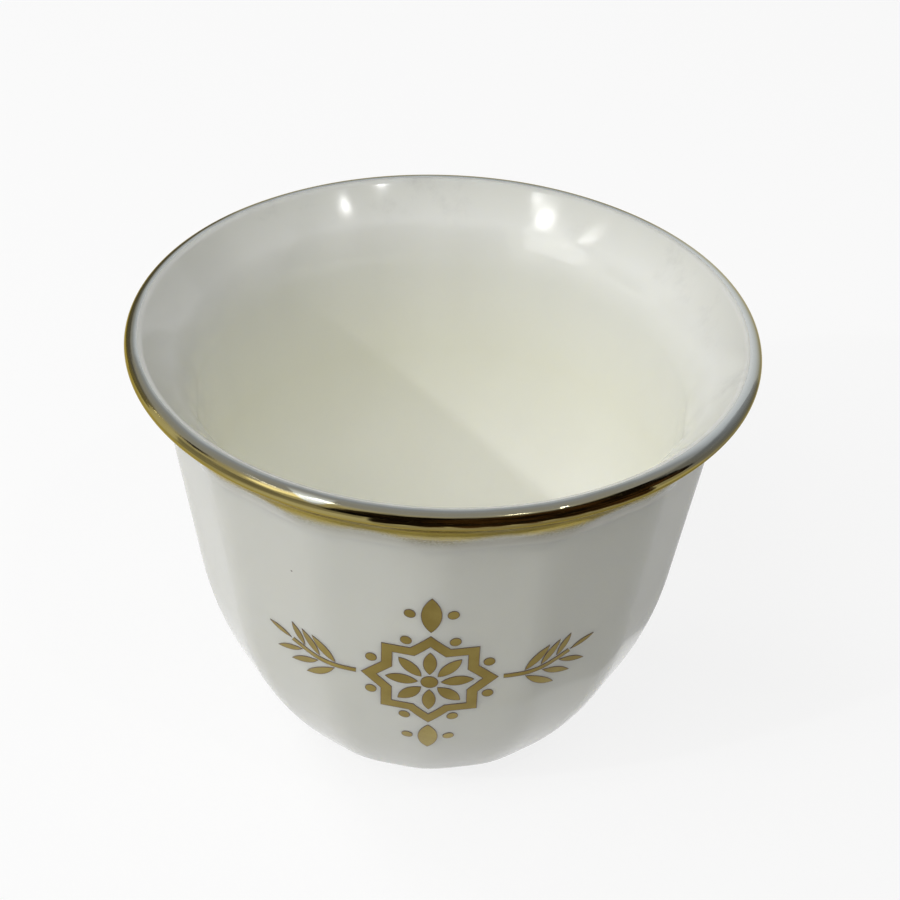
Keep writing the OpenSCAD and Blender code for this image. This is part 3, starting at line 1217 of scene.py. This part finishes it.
@dataclass(frozen=True)
class DarkCard:
    """Dark sector round the cup, out of the camera's sight, which gives gold its dark reflections.

    It reaches from one radius and height to another: a card that stands, or a mat that lies.
    Azimuth and half width are degrees, with azimuth 0 at the cup's front.

    Cover is its opacity. Taper is the share of the half width over which the top slopes down to
    the ends, and ragged is the unevenness of the inner edge. Softness is the share over which a
    card's top or a mat's inner edge fades; the ends fade over a length that end_firmness divides.
    """

    name: str
    azimuth: float
    half_width: float
    radii: Span
    heights: Span = (0.001, 0.001)
    cover: float = 1.0
    taper: float = 0.0
    ragged: float = 0.0
    ragged_pitch: float = 9.0
    softness: float = 0.3
    end_firmness: float = 4.0
    dark: Colour = (0.02, 0.013, 0.01)
    brown: Colour = (0.20, 0.10, 0.05)
    patch_size: float = 0.12
    patch_span: Span = (0.45, 0.7)
    columns: int = 96
    rows: int = 24

    @property
    def stands(self) -> bool:
        """True for a card that stands, false for a mat that lies."""
        return self.heights[1] > self.heights[0]

    def spot(self, across: float, share: float) -> Vector:
        """Returns a point of the card, from -1 to 1 across it and a share of the way out or up."""
        angle = math.radians(self.azimuth) + math.radians(self.half_width) * across
        near, far = self.radii
        near *= 1 + self.ragged * noise.noise(Vector((self.ragged_pitch * angle, 0, 0)))
        radius = near + (far - near) * share
        bottom, top = self.heights
        end = ease(0.0, self.taper, 1 - abs(across)) if self.taper else 1.0
        height = bottom + (top - bottom) * share * end
        return Vector((radius * math.sin(angle), -radius * math.cos(angle), height))

    def finish(self) -> bpy.types.Material:
        """Returns the card's dull, patchy finish, which fades out at its edges."""
        graph = Graph(self.name)
        patches = graph.span(graph.noise(self.patch_size), *self.patch_span)
        graph.set(
            Base_Color=graph.mix(patches, self.dark, self.brown),
            Roughness=1.0,
            Specular_IOR_Level=0.0,
            Alpha=graph.span(graph.attribute(Layer.EDGE), 0.0, self.softness, 0.0, self.cover))
        return graph.material

    def build(self) -> None:
        """Sets the card up, to be seen in mirrored light alone."""
        bm = bmesh.new()
        edge = bm.verts.layers.float.new(Layer.EDGE.value)
        grid = bmesh.ops.create_grid(bm, x_segments=self.columns, y_segments=self.rows, size=1.0)
        for vert in grid["verts"]:
            across, share = vert.co.x, (vert.co.y + 1) / 2
            rest = 1 - share if self.stands else share
            vert[edge] = min(self.end_firmness * (1 - abs(across)), rest)
            vert.co = self.spot(across, share)
        card = make_object(bm, self.name)
        card.data.materials.append(self.finish())
        card.visible_camera = False
        card.visible_diffuse = False
        card.visible_shadow = False


@dataclass
class Studio:
    """White floor and air, soft lamps, dark cards and the photograph's camera.

    The lens and the sensor are millimetres.
    """

    section: CupSection
    floor_radius: float = 4.0
    floor_colour: Colour = (0.62, 0.62, 0.61)
    floor_white: Colour = (1.0, 1.0, 1.0)
    floor_glow: float = 0.83
    ambient: float = 0.2
    lens: float = 87.73
    camera_distance: float = 0.22834
    camera_elevation: float = math.radians(35.62)
    camera_roll: float = math.radians(2.34)
    camera_aside: float = -0.00113
    camera_above: float = 0.01214
    sensor_width: float = 36.0
    clip_start: float = 0.01
    floor_sides: int = 96
    lamp_set: tuple[Lamp, ...] = (
        Lamp("key", -54, 34, 0.03, 1.15, mirrored=False),
        Lamp("front_fill", -30, 50, 0.5, 1.65, mirrored=False),
        Lamp("side_fill", -120, 50, 0.3, 1.4, mirrored=False),
        Lamp("overhead", -60, 68, 0.3, 0.5, mirrored=False),
        Lamp("right_fill", 120, 50, 0.3, 0.4, mirrored=False),
        Lamp("gleam", -54, 30, 0.40, 0.76, length=0.35),
        Lamp("lip_light", -50, 46, 0.22, 0.22, length=0.20),
        Lamp("left_high_spot", -46, 55, 0.014, 0.07, length=0.04),
        Lamp("left_low_spot", -51, 52.5, 0.016, 0.12, length=0.05),
        Lamp("right_high_spot", 36, 58, 0.03, 0.3, length=0.05),
        Lamp("right_low_spot", 54, 53, 0.010, 0.05, length=0.022),
        Lamp("strip", -69, 45, 0.014, 0.09, length=0.18),
        Lamp("side_spot", -107, 15, 0.025, 0.03),
    )
    cards: tuple[DarkCard, ...] = (
        DarkCard("right_card", 26, 63, (0.30, 0.30), (0.0, 0.42), taper=0.23),
        DarkCard("right_mat", 25, 45, (0.075, 0.30), ragged=0.35, softness=0.05),
        DarkCard("side_mat", 100, 30, (0.075, 0.30), cover=0.4),
        DarkCard("left_mat", -55, 35, (0.085, 0.25), cover=0.5),
        DarkCard("left_fence", -55, 35, (0.25, 0.25), (0.001, 0.085), cover=0.6),
        DarkCard("left_bar", -86, 6, (0.30, 0.30), (0.135, 0.215), softness=0.05),
        DarkCard("near_mat", 65, 85, (0.03, 0.075), cover=0.36, softness=0.05),
        DarkCard(
            "side_card", 100, 30, (0.30, 0.30), (0.0, 0.30),
            cover=0.5, dark=(0.10, 0.10, 0.09), brown=(0.30, 0.28, 0.25)),
        DarkCard(
            "left_card", -135, 30, (0.30, 0.30), (0.0, 0.20),
            cover=0.7, dark=(0.05, 0.04, 0.03), brown=(0.30, 0.22, 0.15)),
    )

    def seen_white(self, tree: bpy.types.NodeTree) -> Socket:
        """Returns 1 for rays that see the background white: direct, mirrored or through glass."""
        path = tree.nodes.new("ShaderNodeLightPath")
        seen = path.outputs["Is Camera Ray"]
        for name in ("Is Glossy Ray", "Is Transmission Ray"):
            either = tree.nodes.new("ShaderNodeMath")
            either.operation = "MAXIMUM"
            tree.links.new(seen, either.inputs[0])
            tree.links.new(path.outputs[name], either.inputs[1])
            seen = either.outputs[0]
        return seen

    def world(self) -> None:
        """Fills the air with even light, seen as white."""
        world = bpy.data.worlds.new("studio_air")
        world.use_nodes = True
        tree = world.node_tree
        background = tree.nodes["Background"]
        level = tree.nodes.new("ShaderNodeMapRange")
        level.inputs["To Min"].default_value = self.ambient
        level.inputs["To Max"].default_value = 1.0
        tree.links.new(self.seen_white(tree), level.inputs["Value"])
        tree.links.new(level.outputs["Result"], background.inputs["Strength"])
        background.inputs["Color"].default_value = (1.0, 1.0, 1.0, 1.0)
        bpy.context.scene.world = world

    def floor(self) -> None:
        """Lays the pale floor, which is seen white and keeps the cup's shadow."""
        bm = bmesh.new()
        bmesh.ops.create_circle(bm, cap_ends=True, radius=self.floor_radius, segments=self.floor_sides)
        bmesh.ops.recalc_face_normals(bm, faces=bm.faces)
        floor = make_object(bm, "floor")
        graph = Graph("pale_floor")
        seen = self.seen_white(graph.tree)
        graph.set(
            Base_Color=graph.mix(seen, self.floor_colour, self.floor_white),
            Roughness=1.0,
            Specular_IOR_Level=0.0)
        glow = graph.add("ShaderNodeEmission", {"Color": self.floor_white, "Strength": 1.0})
        blend = graph.add("ShaderNodeMixShader", {
            0: graph.times(seen, self.floor_glow),
            1: graph.shader.outputs["BSDF"],
            2: glow.outputs["Emission"]})
        graph.put(graph.output.inputs["Surface"], blend.outputs["Shader"])
        floor.data.materials.append(graph.material)

    def lamps(self) -> None:
        """Hangs the lamps round the cup."""
        aim = Vector((0, 0, self.section.height / 2))
        for lamp in self.lamp_set:
            lamp.build(aim)

    def camera(self) -> None:
        """Stands the camera where the photograph was taken."""
        rise = self.camera_elevation
        forward = Vector((0, math.cos(rise), -math.sin(rise)))
        right, up = Vector((1, 0, 0)), Vector((0, math.sin(rise), math.cos(rise)))
        aim = Vector((0, 0, self.section.lip_middle.y))
        place = aim - forward * self.camera_distance - right * self.camera_aside - up * self.camera_above
        turned = Matrix((right, up, -forward)).transposed() @ Matrix.Rotation(self.camera_roll, 3, "Z")
        data = bpy.data.cameras.new("camera")
        data.lens = self.lens
        data.sensor_width = self.sensor_width
        data.clip_start = self.clip_start
        camera = bpy.data.objects.new("camera", data)
        camera.matrix_world = Matrix.Translation(place) @ turned.to_4x4()
        bpy.context.scene.collection.objects.link(camera)
        bpy.context.scene.camera = camera

    def build(self) -> None:
        """Sets up the air, the floor, the cards, the lamps and the camera."""
        bpy.context.scene.view_settings.view_transform = "Standard"
        self.world()
        self.floor()
        for card in self.cards:
            card.build()
        self.lamps()
        self.camera()


def main() -> None:
    """Builds the studio, then the porcelain, its gilding and its ornament."""
    logging.basicConfig(level=logging.INFO, format="%(message)s")
    LOG.info("frame with %d nodes", len(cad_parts))
    section = CupSection.from_frame()
    press = Press()
    glaze = PorcelainGlaze()
    Studio(section).build()
    surface = CupBody(section, press).build(glaze.build())
    LipGilding(section, press).build(BrightGold(glaze).build())
    Ornament(surface).build(SatinGold().build())


if __name__ == "__main__":
    main()
